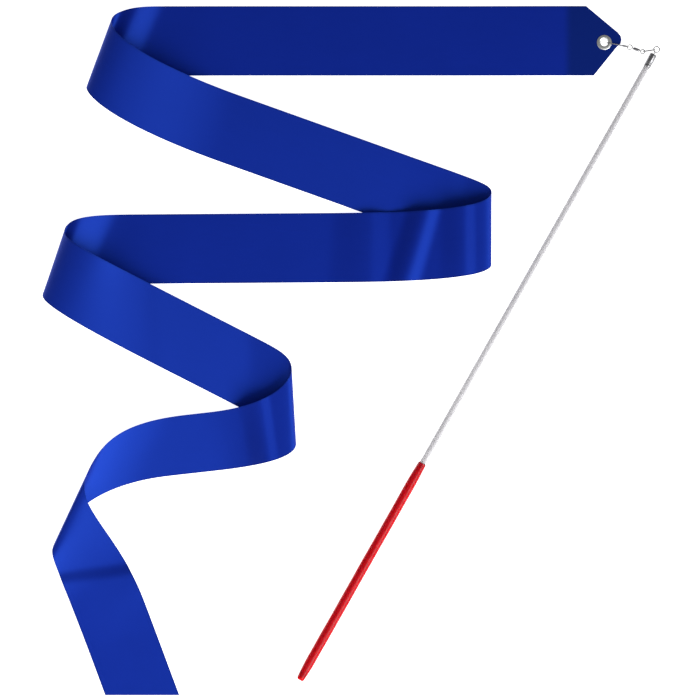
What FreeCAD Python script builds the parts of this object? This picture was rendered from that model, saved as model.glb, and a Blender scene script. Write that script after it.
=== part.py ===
import FreeCAD, Part
import math
import os
from collections import namedtuple

# Rhythmic ribbon wand, laid out on a flat surface. Millimetres, +Z up.
# The origin is on the surface, under the middle of the laid-out object.
# The wand points up and to the right, and the ribbon runs left and right in soft folds.

Vector = FreeCAD.Vector
UP = Vector(0, 0, 1)

# ---------------------------------------------------------------- wand
WAND_END = Vector(-37.2, -237.0, 3.5)     # closed end of the grip, on the wand's axis
WAND_ANGLE = 60.5                         # degrees from +X
GRIP_LENGTH = 180.0
GRIP_RADIUS = 3.5
GRIP_END_RADIUS = 2.75
GRIP_TAPER = 18.0                         # length of the taper at each end of the grip
GRIP_FLOOR = 3.0                          # solid plastic at the closed end
ROD_RADIUS = 2.3
ROD_END = 511.5                           # where the rod stops inside the ferrule
FERRULE_START = 507.2
FERRULE_END = 517.4
FERRULE_RADIUS = 2.6
FERRULE_WALL = 1.0                        # closed end of the ferrule
EYE_CENTRE = 521.3                        # along the wand
EYE_RADIUS = 2.1                          # to the middle of the wire
EYE_WIRE = 0.42                           # wire radius
EYE_HEAD_RADIUS = 1.2
EYE_HEAD_LENGTH = 1.2
RUNNING_CLEARANCE = 0.06
SHANK_PART = 0.85                         # a shank is drawn down to this part of its wire

# ---------------------------------------------------------------- swivel and snap
RING_WIRE = 0.38
RING_HALF_HEIGHT = 1.45                   # to the middle of the wire
RING_ENDS = (Vector(218.4, 216.55, 3.45), Vector(210.1, 215.35, 2.0))
NEAR_EYE = Vector(209.6, 215.2, 2.0)
NEAR_EYE_RADIUS = 1.5
FAR_EYE = Vector(200.3, 218.4, 2.0)
FAR_EYE_RADIUS = 1.75
SWIVEL_WIRE = 0.34
SWIVEL_HEAD_RADIUS = 0.72
SWIVEL_HEAD_LENGTH = 0.6
BARREL_RADIUS = 1.2
BARREL_WALL = 0.35
BARREL_LENGTH = 5.0
SNAP_WIRE = 0.34
SNAP_ENDS = (Vector(199.6, 218.5, 2.2), Vector(183.7, 221.6, 2.2))
SNAP_HALF_HEIGHT = 1.8
CLASP_LENGTH = 3.0
CLASP_SHEET = 0.25
CLASP_FROM_END = 1.8                      # gap from the snap's swivel end to the clasp
CLASP_LOW = 0.3
CLASP_TOP = 4.65

# ---------------------------------------------------------------- eyelet
EYELET_CENTRE = Vector(181.9, 221.8, 0)
EYELET_HOLE = 2.65
EYELET_BARREL = 2.95
EYELET_FLANGE = 5.4
EYELET_FLANGE_HEIGHT = 0.5

# ---------------------------------------------------------------- ribbon
RIBBON_WIDTH = 50.0
CLOTH = 0.4                               # cloth thickness
FLOOR = CLOTH / 2 + 0.04                  # middle of cloth that lies on the surface
TIP_HEIGHT = 2.4                          # middle of the upper layer at the doubled end
DOUBLED_FROM = 158.7                      # X where the folded-back layer ends
TIP_SLOPE_END = 60.0                      # X where the first run has come down
LIFT = 38.0                               # how far before a fold the lower layer starts to rise
BEND = 6.0                                # how far before a fold it bends over sharply
SLOW_PART = 0.75                          # share of its rise before the bend
CREST = [22.0, 3.5, 24.0, 3.0, 3.0]       # how far behind each fold the upper layer is highest
AT_ONCE = [0.0, 0.0, 0.0, 0.0, 1.0]       # share of its fall that starts at once, not gently

# A straight run of ribbon: a point on its middle line, its heading in degrees and its plan width.
Run = namedtuple("Run", "x y heading width")
RUNS = [
    Run(13.3, 223.0, 180.0, 50.0),
    Run(-32.8, 140.2, -19.6, 49.6),
    Run(-74.1, 73.7, 180.4, 50.0),
    Run(-115.7, 5.2, -27.1, 50.0),
    Run(-99.0, -65.2, 186.4, 42.4),
    Run(-161.9, -217.6, -69.6, 50.0),
]
RIBBON_END = -248.0                       # Y where the last run is cut square to the layout

# One edge of the ribbon at a fold. x, y is where the edge turns over. The edge leaves its run
# reach_in before that point and joins the next run reach_out after it; pull_in and pull_out are
# how firmly it keeps to each run, and slide is how far it slips along the fold. middle, crest and
# rest are its heights at the turn, at its highest and where it joins the next run. down is the
# share of the way to the next run where it has come down to rest.
Turn = namedtuple("Turn", "x y reach_in pull_in slide pull_out reach_out middle crest rest down")
FOLDS = [
    (Turn(-172.7, 238.8, 40, 30, 4, 98, 105, 11.0, 21.0, 5.5, 1.0),
     Turn(-190.9, 190.2, 40, 30, 2, 100, 110, 10.0, 18.5, 5.5, 1.0)),
    (Turn(101.3, 113.9, 40, 36, 4, 92, 96, 9.0, 13.5, 1.1, 1.0),
     Turn(101.4, 62.1, 40, 30, 3, 100, 103, 8.0, 11.5, 1.1, 1.0)),
    (Turn(-206.8, 85.5, 45, 45, 5, 48, 76, 11.0, 22.0, 9.5, 1.0),
     Turn(-222.1, 41.2, 40, 30, 4, 92, 98, 10.0, 19.5, 8.0, 1.0)),
    (Turn(-42.6, -12.4, 40, 27, 9, 46, 62, 9.5, 13.0, 5.0, 1.0),
     Turn(-39.3, -67.2, 40, 30, 9, 32, 58, 8.0, 11.5, 1.1, 1.0)),
    (Turn(-190.8, -90.2, 76, 54, 22, 50, 98, 11.5, 13.5, 0.6, 0.8),
     Turn(-214.3, -140.6, 88, 70, 7, 72, 83, 8.0, 10.0, 0.6, 0.5)),
]
LEANING = 4                               # the run into this fold leans on its lower edge
LEAN_START = 5.0                          # height of its upper edge where it leaves the last fold
LEAN_END = 7.0                            # and where it comes to this fold, before the fold's own rise
SECTIONS = 15                             # sections across the ribbon in half a fold
FINE = 160                                # steps used to space those sections evenly


def heading(degrees):
    angle = math.radians(degrees)
    return Vector(math.cos(angle), math.sin(angle), 0)


def solid_ring(centre, normal, radius, wire):
    return Part.makeTorus(radius, wire, centre, normal)


def cylinder_between(start, end, radius):
    return Part.makeCylinder(radius, start.distanceToPoint(end), start, end - start)


# ---------------------------------------------------------------- wand pieces
WAND_DIRECTION = heading(WAND_ANGLE)


def on_wand(distance):
    return WAND_END + WAND_DIRECTION * distance


def turned(points):
    """A solid turned about the wand's axis from (distance along, radius) points."""
    corners = [Vector(along, radius, 0) for along, radius in points]
    face = Part.Face(Part.makePolygon(corners + corners[:1]))
    solid = face.revolve(Vector(0, 0, 0), Vector(1, 0, 0), 360)
    solid.rotate(Vector(0, 0, 0), UP, WAND_ANGLE)
    solid.translate(WAND_END)
    return solid


def make_rod():
    return cylinder_between(on_wand(GRIP_FLOOR), on_wand(ROD_END), ROD_RADIUS)


def make_grip():
    round_end = 1.6
    lip = 0.5
    outline = [
        (0, 0),
        (0, GRIP_END_RADIUS - round_end),
        (round_end * 0.3, GRIP_END_RADIUS - round_end * 0.3),
        (round_end, GRIP_END_RADIUS),
        (GRIP_TAPER, GRIP_RADIUS),
        (GRIP_LENGTH - GRIP_TAPER, GRIP_RADIUS),
        (GRIP_LENGTH - lip, GRIP_END_RADIUS + 0.1),
        (GRIP_LENGTH, GRIP_END_RADIUS - 0.2),
        (GRIP_LENGTH, ROD_RADIUS),
        (GRIP_FLOOR, ROD_RADIUS),
        (GRIP_FLOOR, 0),
    ]
    return turned(outline)


def make_ferrule():
    shank_hole = EYE_WIRE * SHANK_PART + RUNNING_CLEARANCE
    chamber = 1.6
    edge = 0.3
    outline = [
        (FERRULE_START, ROD_RADIUS),
        (FERRULE_START, FERRULE_RADIUS),
        (FERRULE_END - edge, FERRULE_RADIUS),
        (FERRULE_END, FERRULE_RADIUS - edge),
        (FERRULE_END, shank_hole),
        (FERRULE_END - FERRULE_WALL, shank_hole),
        (FERRULE_END - FERRULE_WALL, chamber),
        (ROD_END, chamber),
        (ROD_END, ROD_RADIUS),
    ]
    return turned(outline)


def make_tip_eye():
    head_top = FERRULE_END - FERRULE_WALL - 0.25
    head = cylinder_between(on_wand(head_top - EYE_HEAD_LENGTH), on_wand(head_top), EYE_HEAD_RADIUS)
    ring_start = on_wand(EYE_CENTRE - EYE_RADIUS)
    shank = cylinder_between(on_wand(head_top), ring_start, EYE_WIRE * SHANK_PART)
    ring = solid_ring(on_wand(EYE_CENTRE), UP, EYE_RADIUS, EYE_WIRE)
    return head.fuse([shank, ring])


# ---------------------------------------------------------------- swivel and snap
def upright_loop(ends, half_height, wire):
    """A closed wire loop in an upright plane, with a half-round bend at each end."""
    first, second = ends
    along = (second - first).normalize()
    across = (UP - along * UP.dot(along)).normalize()
    start = first + along * half_height
    stop = second - along * half_height
    top = [start + across * half_height, stop + across * half_height]
    bottom = [start - across * half_height, stop - across * half_height]
    path = Part.Wire([
        Part.LineSegment(top[0], top[1]).toShape(),
        Part.Arc(top[1], second, bottom[1]).toShape(),
        Part.LineSegment(bottom[1], bottom[0]).toShape(),
        Part.Arc(bottom[0], first, top[0]).toShape(),
    ])
    section = Part.Wire([Part.makeCircle(wire, top[0], along)])
    return path.makePipeShell([section], True, True)


def swivel_axis():
    return (FAR_EYE - NEAR_EYE).normalize()


def barrel_ends():
    middle = (NEAR_EYE + FAR_EYE) * 0.5 + swivel_axis() * ((NEAR_EYE_RADIUS - FAR_EYE_RADIUS) / 2)
    half = swivel_axis() * (BARREL_LENGTH / 2)
    return middle - half, middle + half


def make_swivel_barrel():
    near, far = barrel_ends()
    axis = swivel_axis()
    nose = 0.8
    body = cylinder_between(near + axis * nose, far - axis * nose, BARREL_RADIUS)
    near_cone = Part.makeCone(BARREL_RADIUS * 0.62, BARREL_RADIUS, nose, near, axis)
    far_cone = Part.makeCone(BARREL_RADIUS * 0.62, BARREL_RADIUS, nose, far, axis * -1)
    inner = cylinder_between(near + axis * nose, far - axis * nose, BARREL_RADIUS - BARREL_WALL)
    bore = cylinder_between(near, far, SWIVEL_WIRE * SHANK_PART + RUNNING_CLEARANCE)
    return body.fuse([near_cone, far_cone]).cut(inner.fuse(bore))


def make_swivel_eye(centre, radius, barrel_end, inward):
    """An eye of wire whose shank goes into the barrel and ends in a head."""
    nose = 0.8
    head_start = barrel_end + inward * (nose + 0.15)
    head = cylinder_between(head_start, head_start + inward * SWIVEL_HEAD_LENGTH, SWIVEL_HEAD_RADIUS)
    shank = cylinder_between(centre + inward * radius, head_start, SWIVEL_WIRE * SHANK_PART)
    ring = solid_ring(centre, UP, radius, SWIVEL_WIRE)
    return head.fuse([shank, ring])


def make_snap_clasp():
    """A folded sheet over both legs of the snap: a top fold and two side plates."""
    start, end = SNAP_ENDS
    along = (end - start).normalize()
    side = UP.cross(along)
    corner = start + along * CLASP_FROM_END
    inside = SNAP_WIRE + 0.05
    outside = inside + CLASP_SHEET
    height = CLASP_TOP - CLASP_LOW

    def block(half_width, low, high):
        base = Vector(corner.x, corner.y, low) - side * half_width
        points = [
            base,
            base + along * CLASP_LENGTH,
            base + along * CLASP_LENGTH + side * (2 * half_width),
            base + side * (2 * half_width),
        ]
        face = Part.Face(Part.makePolygon(points + points[:1]))
        return face.extrude(UP * (high - low))

    sheet = block(outside, CLASP_LOW, CLASP_LOW + height)
    return sheet.cut(block(inside, CLASP_LOW - 1, CLASP_TOP - CLASP_SHEET))


# ---------------------------------------------------------------- eyelet
def ring_solid(outer, inner, low, high):
    base = EYELET_CENTRE + UP * low
    return Part.makeCylinder(outer, high - low, base).cut(Part.makeCylinder(inner, high - low, base))


def make_eyelet_front():
    """The flange on the upper face, and the barrel that goes down through the cloth."""
    top = TIP_HEIGHT + CLOTH / 2
    bottom = TIP_HEIGHT - 1.5 * CLOTH
    flange = ring_solid(EYELET_FLANGE, EYELET_HOLE, top, top + EYELET_FLANGE_HEIGHT)
    flange = flange.makeFillet(EYELET_FLANGE_HEIGHT * 0.6, [rim_edge(flange, top + EYELET_FLANGE_HEIGHT)])
    barrel = ring_solid(EYELET_BARREL, EYELET_HOLE, bottom - EYELET_FLANGE_HEIGHT, top)
    return flange.fuse(barrel).removeSplitter()


def make_eyelet_back():
    bottom = TIP_HEIGHT - 1.5 * CLOTH
    return ring_solid(EYELET_FLANGE, EYELET_BARREL, bottom - EYELET_FLANGE_HEIGHT, bottom)


def rim_edge(shape, height):
    for edge in shape.Edges:
        curve = edge.Curve
        if isinstance(curve, Part.Circle) and abs(curve.Radius - EYELET_FLANGE) < 1e-6:
            if abs(curve.Center.z - height) < 1e-6:
                return edge
    raise ValueError("no rim")


# ---------------------------------------------------------------- ribbon
def run_edge(index, upper):
    """A point on one edge of a run, and the run's heading."""
    run = RUNS[index]
    along = heading(run.heading)
    left = UP.cross(along)
    left_is_upper = index % 2 == 1
    side = 1 if upper == left_is_upper else -1
    return Vector(run.x, run.y, 0) + left * (side * run.width / 2), along


def bezier(points, t):
    a, b, c, d = points
    s = 1 - t
    return a * (s ** 3) + b * (3 * s * s * t) + c * (3 * s * t * t) + d * (t ** 3)


def quarter(fraction):
    """Height of a quarter of an ellipse, 0 to 1, that starts upright."""
    fraction = min(max(fraction, 0.0), 1.0)
    return math.sqrt(1 - (1 - fraction) ** 2)


def lower_rise(distance):
    """How far the lower layer has risen towards the turn, 0 to 1: slowly, then in a sharp bend."""
    slow = max(1 - distance / LIFT, 0.0) ** 2
    return SLOW_PART * slow + (1 - SLOW_PART) * (1 - quarter(distance / BEND))


def fold_line(index):
    upper, lower = FOLDS[index]
    return Vector(lower.x - upper.x, lower.y - upper.y, 0).normalize()


def distance_from_fold(index, point):
    upper = FOLDS[index][0]
    return abs((point - Vector(upper.x, upper.y, 0)).cross(fold_line(index)).z)


def lean(share):
    """Height of the leaning run's upper edge on its way to the last fold."""
    return LEAN_START + (LEAN_END - LEAN_START) * (1 - math.cos(math.pi * share)) / 2


def edge_before(index, upper):
    """An edge from where it leaves its run to where it turns over."""
    turn = FOLDS[index][0 if upper else 1]
    base, along = run_edge(index, upper)
    at_turn = Vector(turn.x, turn.y, 0)
    leave = base + along * ((at_turn - base).dot(along) - turn.reach_in)
    controls = [leave, leave + along * turn.pull_in, at_turn - fold_line(index) * turn.slide, at_turn]
    points = []
    for step in range(FINE + 1):
        point = bezier(controls, step / FINE)
        low = lean(step / FINE) if upper and index == LEANING else FLOOR
        rise = lower_rise(distance_from_fold(index, point))
        points.append(Vector(point.x, point.y, low + (turn.middle - low) * rise))
    return points


def fall(index, share):
    gentle = (1 - math.cos(math.pi * share)) / 2
    quick = 1 - (1 - share) ** 1.5
    return gentle + (quick - gentle) * AT_ONCE[index]


def edge_after(index, upper):
    """The same edge from where it turns over to where it joins the next run."""
    turn = FOLDS[index][0 if upper else 1]
    base, along = run_edge(index + 1, upper)
    at_turn = Vector(turn.x, turn.y, 0)
    join = base + along * ((at_turn - base).dot(along) + turn.reach_out)
    controls = [at_turn, at_turn + fold_line(index) * turn.slide, join - along * turn.pull_out, join]
    crest_at = CREST[index]
    down_at = distance_from_fold(index, join) * turn.down
    points = []
    for step in range(FINE + 1):
        point = bezier(controls, step / FINE)
        away = distance_from_fold(index, point)
        if away < crest_at:
            height = turn.middle + (turn.crest - turn.middle) * quarter(away / crest_at)
        else:
            share = min((away - crest_at) / (down_at - crest_at), 1.0)
            height = turn.crest + (turn.rest - turn.crest) * fall(index, share)
        points.append(Vector(point.x, point.y, height))
    return points


def even_sections(upper_points, lower_points):
    """Pairs of edge points, evenly spaced along the cloth."""
    middles = [(a + b) * 0.5 for a, b in zip(upper_points, lower_points)]
    travelled = [0.0]
    for before, after in zip(middles, middles[1:]):
        travelled.append(travelled[-1] + before.distanceToPoint(after))
    picked = []
    for number in range(SECTIONS):
        goal = travelled[-1] * number / (SECTIONS - 1)
        nearest = min(range(len(travelled)), key=lambda i: abs(travelled[i] - goal))
        picked.append((upper_points[nearest], lower_points[nearest]))
    return picked


def ribbon_spans():
    """The ribbon's middle surface, as spans of (upper edge point, lower edge point) sections."""
    half = RIBBON_WIDTH / 2
    y = RUNS[0].y
    start = (Vector(DOUBLED_FROM, y + half, TIP_HEIGHT), Vector(DOUBLED_FROM, y - half, TIP_HEIGHT))
    down = (Vector(TIP_SLOPE_END, y + half, FLOOR), Vector(TIP_SLOPE_END, y - half, FLOOR))
    spans = [[start, down]]
    for index in range(len(FOLDS)):
        before = even_sections(edge_before(index, True), edge_before(index, False))
        after = even_sections(edge_after(index, True), edge_after(index, False))
        spans.append([spans[-1][-1], before[0]])
        spans.append(before)
        spans.append(after)
    ends = []
    for upper in (True, False):
        base, along = run_edge(len(RUNS) - 1, upper)
        ends.append(base + along * ((RIBBON_END - base.y) / along.y) + UP * FLOOR)
    spans.append([spans[-1][-1], tuple(ends)])
    return spans


def span_edge(points, first, last):
    if len(points) == 2:
        return Part.LineSegment(points[0], points[1]).toShape()
    curve = Part.BSplineCurve()
    curve.interpolate(Points=points, InitialTangent=first, FinalTangent=last, Scale=False)
    return curve.toShape()


def section_frames(spans):
    """Each section once, with the cloth's direction of travel there."""
    sections = [spans[0][0]]
    straight = []
    for span in spans:
        if len(span) == 2:
            straight.append((len(sections) - 1, len(sections)))
        sections += span[1:]
    middles = [(upper + lower) * 0.5 for upper, lower in sections]
    travel = []
    for i, middle in enumerate(middles):
        before = middles[max(i - 1, 0)]
        after = middles[min(i + 1, len(middles) - 1)]
        travel.append((after - before).normalize())
    for first, second in straight:
        direction = (middles[second] - middles[first]).normalize()
        travel[first] = direction
        travel[second] = direction
    return sections, travel


def make_ribbon():
    spans = ribbon_spans()
    sections, travel = section_frames(spans)
    corners = []
    for (upper, lower), direction in zip(sections, travel):
        normal = direction.cross(upper - lower).normalize() * (CLOTH / 2)
        corners.append((upper + normal, lower + normal, lower - normal, upper - normal))
    faces = []
    position = 0
    for span in spans:
        last = position + len(span) - 1
        part = corners[position:last + 1]
        edges = []
        for corner in range(4):
            points = [section[corner] for section in part]
            edges.append(span_edge(points, travel[position], travel[last]))
        for corner in range(4):
            faces.append(Part.makeRuledSurface(edges[corner], edges[(corner + 1) % 4]))
        position = last
    for section in (corners[0], corners[-1]):
        faces.append(Part.Face(Part.makePolygon(list(section) + [section[0]])))
    shell = Part.makeShell(faces)
    shell.sewShape()
    solid = Part.Solid(shell)
    if solid.Volume < 0:
        solid.reverse()
    return solid.fuse(make_ribbon_tip()).removeSplitter()


def make_ribbon_tip():
    """The pointed end: two layers of cloth, with the hole for the eyelet."""
    half = RIBBON_WIDTH / 2
    y = RUNS[0].y
    low = TIP_HEIGHT - 1.5 * CLOTH
    upper_start = Vector(DOUBLED_FROM, y + half, low)
    upper_corner = Vector(168.8, y + half, low)
    nose = [Vector(191.8, 228.8, low), Vector(194.3, 223.8, low), Vector(190.4, 217.9, low)]
    lower_corner = Vector(174.3, y - half, low)
    lower_start = Vector(DOUBLED_FROM, y - half, low)
    outline = Part.Wire([
        Part.makeLine(upper_start, upper_corner),
        Part.makeLine(upper_corner, nose[0]),
        Part.Arc(*nose).toShape(),
        Part.makeLine(nose[2], lower_corner),
        Part.makeLine(lower_corner, lower_start),
        Part.makeLine(lower_start, upper_start),
    ])
    slab = Part.Face(outline).extrude(UP * (2 * CLOTH))
    hole = Part.makeCylinder(EYELET_BARREL, 4 * CLOTH, EYELET_CENTRE + UP * (low - CLOTH))
    return slab.cut(hole)


# ---------------------------------------------------------------- write the pieces
near_end, far_end = barrel_ends()
pieces = {
    "rod": make_rod(),
    "grip": make_grip(),
    "ferrule": make_ferrule(),
    "tip_eye": make_tip_eye(),
    "tip_ring": upright_loop(RING_ENDS, RING_HALF_HEIGHT, RING_WIRE),
    "swivel_barrel": make_swivel_barrel(),
    "swivel_eye_near": make_swivel_eye(NEAR_EYE, NEAR_EYE_RADIUS, near_end, swivel_axis()),
    "swivel_eye_far": make_swivel_eye(FAR_EYE, FAR_EYE_RADIUS, far_end, swivel_axis() * -1),
    "snap_wire": upright_loop(SNAP_ENDS, SNAP_HALF_HEIGHT, SNAP_WIRE),
    "snap_clasp": make_snap_clasp(),
    "eyelet_front": make_eyelet_front(),
    "eyelet_back": make_eyelet_back(),
    "ribbon": make_ribbon(),
}
os.makedirs("parts", exist_ok=True)
for name, shape in pieces.items():
    solids = shape.Solids
    print(name, "valid", shape.isValid(), "solids", len(solids), "volume", round(shape.Volume, 2))
    if len(solids) == 1:
        shape = solids[0]
    shape.exportStep(f"parts/{name}.step")
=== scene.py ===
import math
from collections import namedtuple

import bmesh
import bpy
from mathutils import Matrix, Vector


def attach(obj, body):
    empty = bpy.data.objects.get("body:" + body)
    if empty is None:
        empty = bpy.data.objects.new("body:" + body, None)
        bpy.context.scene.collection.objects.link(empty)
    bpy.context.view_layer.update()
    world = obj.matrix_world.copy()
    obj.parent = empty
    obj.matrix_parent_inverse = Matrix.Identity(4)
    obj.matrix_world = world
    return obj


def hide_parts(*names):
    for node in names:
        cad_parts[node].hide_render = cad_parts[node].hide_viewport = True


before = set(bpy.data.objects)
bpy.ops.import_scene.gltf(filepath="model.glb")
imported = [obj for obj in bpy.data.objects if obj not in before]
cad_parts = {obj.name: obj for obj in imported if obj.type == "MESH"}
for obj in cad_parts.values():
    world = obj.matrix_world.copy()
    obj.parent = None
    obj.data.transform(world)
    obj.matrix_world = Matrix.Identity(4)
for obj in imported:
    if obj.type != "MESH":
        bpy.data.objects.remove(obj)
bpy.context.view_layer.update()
scene = bpy.context.scene
UP = Vector((0, 0, 1))
MM = 0.001                              # sizes below are in millimetres unless they say otherwise
WAND_ANGLE = 60.5                       # heading of the stick, in degrees from +X
RIBBON_WIDTH = 50.0
SHARP_ANGLE = 48                        # edges sharper than this, in degrees, are shaded sharp


# ------------------------------------------------------------------ helpers
def heading(degrees):
    angle = math.radians(degrees)
    return Vector((math.cos(angle), math.sin(angle), 0))


def smooth_step(x, low, high):
    t = min(max((x - low) / (high - low), 0.0), 1.0)
    return t * t * (3 - 2 * t)


def make_object(name, vertices, faces, material, smooth=True):
    """A mesh object from millimetre vertices, with its faces turned outwards."""
    mesh = bpy.data.meshes.new(name)
    mesh.from_pydata([tuple(v * MM) for v in vertices], [], faces)
    work = bmesh.new()
    work.from_mesh(mesh)
    bmesh.ops.recalc_face_normals(work, faces=work.faces)
    work.to_mesh(mesh)
    work.free()
    for polygon in mesh.polygons:
        polygon.use_smooth = smooth
    if smooth:
        mesh.set_sharp_from_angle(angle=math.radians(SHARP_ANGLE))
    mesh.materials.append(material)
    obj = bpy.data.objects.new(name, mesh)
    scene.collection.objects.link(obj)
    return obj


def place(obj, body, node):
    """Puts a piece on its body and lets it stand for its CAD node."""
    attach(obj, body)
    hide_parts(node)


def frame_for(direction):
    """Two directions at right angles to the given one."""
    helper = UP if abs(direction.z) < 0.9 else Vector((1, 0, 0))
    side = helper.cross(direction).normalized()
    return side, direction.cross(side)


def lathe(name, outline, start, direction, material, segments=64, wobble=None):
    """A closed solid turned about an axis from (distance along, radius) points.

    The outline starts and ends on the axis, or closes on itself when it is a ring."""
    side, other = frame_for(direction)
    vertices = []
    rows = []
    for along, radius in outline:
        centre = start + direction * along
        if radius < 1e-6:
            rows.append([len(vertices)])
            vertices.append(centre)
            continue
        row = []
        for i in range(segments):
            angle = 2 * math.pi * i / segments
            r = radius + (wobble(along, angle) if wobble else 0)
            row.append(len(vertices))
            vertices.append(centre + (side * math.cos(angle) + other * math.sin(angle)) * r)
        rows.append(row)
    if len(rows[0]) > 1:
        rows.append(rows[0])
    faces = []
    for first, second in zip(rows, rows[1:]):
        for i in range(segments):
            j = (i + 1) % segments
            if len(first) == 1:
                faces.append((first[0], second[i], second[j]))
            elif len(second) == 1:
                faces.append((first[i], second[0], first[j]))
            else:
                faces.append((first[i], second[i], second[j], first[j]))
    return make_object(name, vertices, faces, material)


def wire_loop(name, path, radius, material, segments=16):
    """A closed loop of wire swept along points."""
    count = len(path)
    directions = [(path[(i + 1) % count] - path[i - 1]).normalized() for i in range(count)]
    side = frame_for(directions[0])[0]
    vertices = []
    rows = []
    for point, direction in zip(path, directions):
        side = (side - direction * side.dot(direction)).normalized()
        other = direction.cross(side)
        row = []
        for k in range(segments):
            angle = 2 * math.pi * k / segments
            row.append(len(vertices))
            vertices.append(point + (side * math.cos(angle) + other * math.sin(angle)) * radius)
        rows.append(row)
    rows.append(rows[0])
    faces = []
    for first, second in zip(rows, rows[1:]):
        for k in range(segments):
            m = (k + 1) % segments
            faces.append((first[k], first[m], second[m], second[k]))
    return make_object(name, vertices, faces, material)


def join(first, second):
    """Puts two meshes of one bent wire into one object."""
    with bpy.context.temp_override(active_object=first, selected_editable_objects=[first, second]):
        bpy.ops.object.join()
    return first


# ------------------------------------------------------------------ materials
SATIN_DARK = (0.0022, 0.0068, 0.165)
SATIN_LIGHT = (0.0034, 0.0108, 0.240)
SATIN_THREAD = (0.0020, 0.0062, 0.150)
SATIN_ROUGH = (0.48, 0.60)
SATIN_IOR = 1.8
SATIN_LEVEL = 1.0
SATIN_TINT = (0.035, 0.15, 1.0)
SATIN_ANISO = 0.55
SELVEDGE_COLOUR = (0.0008, 0.0030, 0.060)
SELVEDGE_START = 1.6                    # distances from the cloth's edge
SELVEDGE_FULL = 0.6
SELVEDGE_SHARE = 0.45
# Noise cells per metre along and across the cloth.
WARP_THREADS = (60, 3200, 1)
CROSS_THREADS = (1800, 500, 1)
CLOUDS = (14, 22, 1)
THREAD_BUMP = 0.00006                   # bump distances are in metres
# Noise cells per metre along the stick and across it.
DRAWN_LINES = (18, 900, 900)
SCUFF_SCALE = 650.0
SCRATCH_SCALE = 900.0
PATCH_SCALE = 360.0
SCRATCH_STRETCH = (1, 6, 3)
SCRATCH_BUMP = 0.00002


def new_material(name):
    material = bpy.data.materials.new(name)
    material.use_nodes = True
    nodes = material.node_tree.nodes
    return material, nodes, material.node_tree.links, nodes["Principled BSDF"]


def add_noise(nodes, links, vector, scale, detail, roughness=0.5):
    noise = nodes.new("ShaderNodeTexNoise")
    noise.inputs["Scale"].default_value = scale
    noise.inputs["Detail"].default_value = detail
    noise.inputs["Roughness"].default_value = roughness
    links.new(vector, noise.inputs["Vector"])
    return noise.outputs["Fac"]


def add_range(nodes, links, value, low, high):
    node = nodes.new("ShaderNodeMapRange")
    node.inputs["To Min"].default_value = low
    node.inputs["To Max"].default_value = high
    links.new(value, node.inputs["Value"])
    return node.outputs["Result"]


def add_mix(nodes, links, factor, dark, light):
    node = nodes.new("ShaderNodeMix")
    node.data_type = "RGBA"
    links.new(factor, node.inputs[0])
    for socket, colour in ((node.inputs[6], dark), (node.inputs[7], light)):
        if isinstance(colour, tuple):
            socket.default_value = (*colour, 1)
        else:
            links.new(colour, socket)
    return node.outputs[2]


def add_bump(nodes, links, height, strength, distance, shader):
    node = nodes.new("ShaderNodeBump")
    node.inputs["Strength"].default_value = strength
    node.inputs["Distance"].default_value = distance
    links.new(height, node.inputs["Height"])
    links.new(node.outputs["Normal"], shader.inputs["Normal"])


def add_mapping(nodes, links, vector, scale):
    node = nodes.new("ShaderNodeMapping")
    node.inputs["Scale"].default_value = scale
    links.new(vector, node.inputs["Vector"])
    return node.outputs["Vector"]


def add_selvedge(nodes, links, vector, colour):
    """Darkens the woven border, about 1 mm wide, along both long edges of the cloth."""
    parts = nodes.new("ShaderNodeSeparateXYZ")
    links.new(vector, parts.inputs["Vector"])
    from_middle = nodes.new("ShaderNodeMath")
    from_middle.operation = "SUBTRACT"
    links.new(parts.outputs["Y"], from_middle.inputs[0])
    from_middle.inputs[1].default_value = RIBBON_WIDTH * MM / 2
    size = nodes.new("ShaderNodeMath")
    size.operation = "ABSOLUTE"
    links.new(from_middle.outputs["Value"], size.inputs[0])
    band = nodes.new("ShaderNodeMapRange")
    band.inputs["From Min"].default_value = (RIBBON_WIDTH / 2 - SELVEDGE_START) * MM
    band.inputs["From Max"].default_value = (RIBBON_WIDTH / 2 - SELVEDGE_FULL) * MM
    band.inputs["To Max"].default_value = SELVEDGE_SHARE
    links.new(size.outputs["Value"], band.inputs["Value"])
    return add_mix(nodes, links, band.outputs["Result"], colour, SELVEDGE_COLOUR)


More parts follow.
